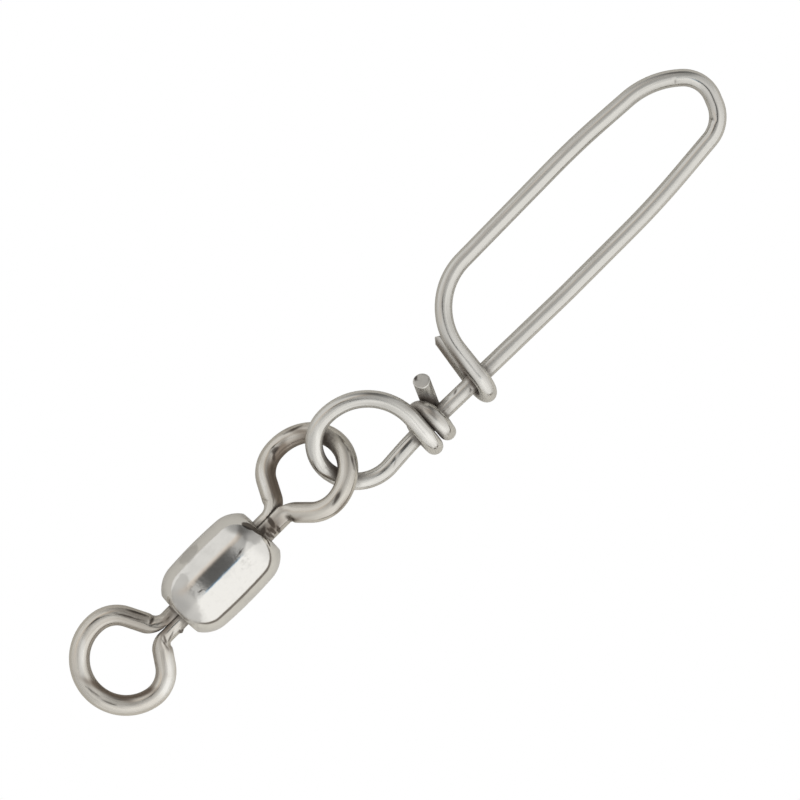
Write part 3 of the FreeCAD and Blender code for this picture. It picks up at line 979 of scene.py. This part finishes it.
def barrel_finish():
    """The plate on the barrel."""
    finish = Finish(bpy.data.materials.new("barrel_nickel_plate"))
    hidden = finish.attribute("hidden")
    place = finish.node("ShaderNodeTexCoord", {}, {}, "Object")
    clouds = finish.noise(place, (420, 420, 420), 3, 0.55)
    grain = finish.noise(place, (5200, 5200, 5200), 2, 0.6)
    patch = finish.attribute("patch")
    mark = finish.attribute("mark")
    speckle = finish.noise(place, (2600, 2600, 2600), 3, 0.6)
    # dirt and painted shade where the eyes sit in the barrel, from the feelers' share of hits
    dirt_and_shade = (hidden + (clouds - 0.5) * 0.2).step(0.25, 0.7)
    # painted reflection: the grey patches, with their edges broken up by noise
    patch_grey_reflection = (patch + (clouds - 0.5) * 0.9 + (speckle - 0.5) * 0.4).step(0.24, 0.44)
    # painted shadow and reflection: the dark crescent at the right end and two dark reflection lines
    stain_and_dark_reflection = (mark + (speckle - 0.5) * 0.3).step(0.35, 0.6)
    colour = finish.blend(clouds.step(0.5, 0.68) * 0.25 + speckle.step(0.5, 0.7) * 0.12, NICKEL, CLOUD_AND_REFLECTED_GREY)
    colour = finish.blend(patch_grey_reflection * 0.8, colour, CLOUD_AND_REFLECTED_GREY)
    colour = finish.blend(dirt_and_shade * 0.85, colour, DIRT_AND_SHADE)
    colour = finish.blend(stain_and_dark_reflection * 0.9, colour, STAIN_AND_DARK_REFLECTION)
    rough = 0.07 + clouds.step(0.45, 0.7) * 0.04 + patch_grey_reflection * 0.12 + grain * 0.04 + dirt_and_shade * 0.3
    bump = finish.node("ShaderNodeBump", {}, {"Height": grain * 0.3 + clouds, "Strength": 0.25,
                                              "Distance": 0.02 * MM})
    shader = finish.node("ShaderNodeBsdfPrincipled", {}, {"Base Color": colour, "Metallic": 1.0,
                                                          "Roughness": rough, "Normal": bump})
    finish.node("ShaderNodeOutputMaterial", {}, {"Surface": shader})
    return finish.owner


barrel.data.materials.append(barrel_finish())

# %% [markdown]
# ## Light
#
# Polished metal shows its surroundings, so the light is drawn as the tent that the part lay in: a
# bright panel on one side, a softer one behind a veil on the other, grey ends, and a dark gap
# overhead where the camera looks in. All of it is the world's colour by direction, which needs no
# lamps and mirrors the same in every piece.

# %% The light tent
world = bpy.data.worlds.new("light_tent")
bpy.context.scene.world = world
tent = Finish(world)
way = tent.node("ShaderNodeTexCoord", {}, {}, "Generated")
east = tent.node("ShaderNodeSeparateXYZ", {}, {0: way}, "X")
north = Value(tent, east.socket.node.outputs["Y"])

key_side = 1 - north.step(-0.22, -0.1)
gap_ends = north.step(-0.2, -0.12) * (1 - north.step(0.50, 0.68))
gap = (1 - (east + 0.04).size().step(0.085, 0.11)) * gap_ends
veil_end = (north - east * east * 0.35).step(0.46, 0.72)
veil_sides = 1 - east.size().step(0.65, 0.95)
veil = (north - east.size() * 0.5).step(-0.2, -0.04) * (1 - veil_end) * veil_sides
left = (east * -1).step(0.15, 0.35)
ends = east.size().step(0.35, 0.9)
top_edge = ((east + north) * 0.707).step(0.74, 0.94)
veil_depth = 0.30 + east * 0.3 - left * 0.14
brightness = 0.83 + key_side * 0.22 - ends * 0.19 - top_edge * 0.4
brightness = brightness * (1 - veil * veil_depth) * (1 - gap * 0.82)
WARM = (1.0, 0.99, 0.97, 1)
BLUE_EDGE = (0.60, 0.88, 1.15, 1)
BROWN_EDGE = (1.0, 0.91, 0.82, 1)
tint = tent.blend((1 - (north + 0.16).size().step(0.03, 0.1)) * gap.step(0.02, 0.2), WARM, BLUE_EDGE)
tint = tent.blend((1 - (north - 0.6).size().step(0.05, 0.16)) * (1 - ends), tint, BROWN_EDGE)
seen = tent.node("ShaderNodeLightPath", {}, {}, "Is Camera Ray")
panels = tent.node("ShaderNodeBackground", {}, {"Color": tint, "Strength": brightness})
white = tent.node("ShaderNodeBackground", {}, {"Color": (1, 1, 1, 1), "Strength": 1.0})
both = tent.node("ShaderNodeMixShader", {}, {0: seen, 1: panels, 2: white})
tent.node("ShaderNodeOutputWorld", {}, {"Surface": both})
print("light tent:", len(tent.tree.nodes), "nodes")

# %% [markdown]
# The part lies on a pale sheet. Its colour is painted lighter on the key panel's side, a painted pool
# of light, and darker in a band across it on that side, which is painted shade. The camera sees it
# burnt out to white, so only the metal's mirror image of it shows, and the sheet is hidden from the
# camera.

# %% The pale sheet under the part
FLOOR_SIZE = 0.12
bpy.ops.object.select_all(action="DESELECT")
bpy.ops.mesh.primitive_plane_add(size=FLOOR_SIZE, location=(0, 0, 0))
floor = bpy.context.object
floor.name = "pale_sheet"
sheet = Finish(bpy.data.materials.new("pale_sheet"))
PAPER = (0.76, 0.745, 0.71, 1)
# painted light: the sheet's colour on the key panel's side
PAPER_PAINTED_KEY_LIGHT = (0.92, 0.90, 0.85, 1)
# painted shade: the colour of the dark band across the sheet
PAPER_EDGE_SHADE = (0.26, 0.235, 0.21, 1)
sheet_place = sheet.node("ShaderNodeTexCoord", {}, {}, "Object")
across = sheet.node("ShaderNodeSeparateXYZ", {}, {0: sheet_place}, "Y")
# painted shade: a dark band across the sheet on the key side
edge_shade = 1 - (across + 0.030).size().step(0.010, 0.016)
# painted light and shade: lighter on the key side, plainer paper on the other
shade = sheet.blend(across.step(-0.009, 0.001), PAPER_PAINTED_KEY_LIGHT, PAPER)
paper = sheet.node("ShaderNodeBsdfDiffuse", {}, {"Color": sheet.blend(edge_shade, shade, PAPER_EDGE_SHADE)})
sheet.node("ShaderNodeOutputMaterial", {}, {"Surface": paper})
floor.data.materials.append(sheet.owner)
floor.visible_camera = False

# %% [markdown]
# ## Camera
#
# The camera looks straight down, and is turned so that the part lies across the picture from
# lower left to upper right. A long lens keeps the wires nearly free of perspective.

# %% The camera
VIEW_HEIGHT = 0.34
VIEW_MIDDLE = (-0.525 * MM, -0.059 * MM)
VIEW_TURN = math.radians(-45)
VIEW_WIDTH = 54.42 * MM
MIDDLE_HEIGHT = 2.3 * MM
SENSOR = 36.0

bpy.ops.object.camera_add(location=(*VIEW_MIDDLE, VIEW_HEIGHT), rotation=(0, 0, VIEW_TURN))
camera = bpy.context.object
camera.data.sensor_width = SENSOR
camera.data.lens = SENSOR * (VIEW_HEIGHT - MIDDLE_HEIGHT) / VIEW_WIDTH
camera.data.clip_start = 0.01
bpy.context.scene.camera = camera
bpy.context.scene.view_settings.view_transform = "Standard"
print("lens:", round(camera.data.lens), "mm")
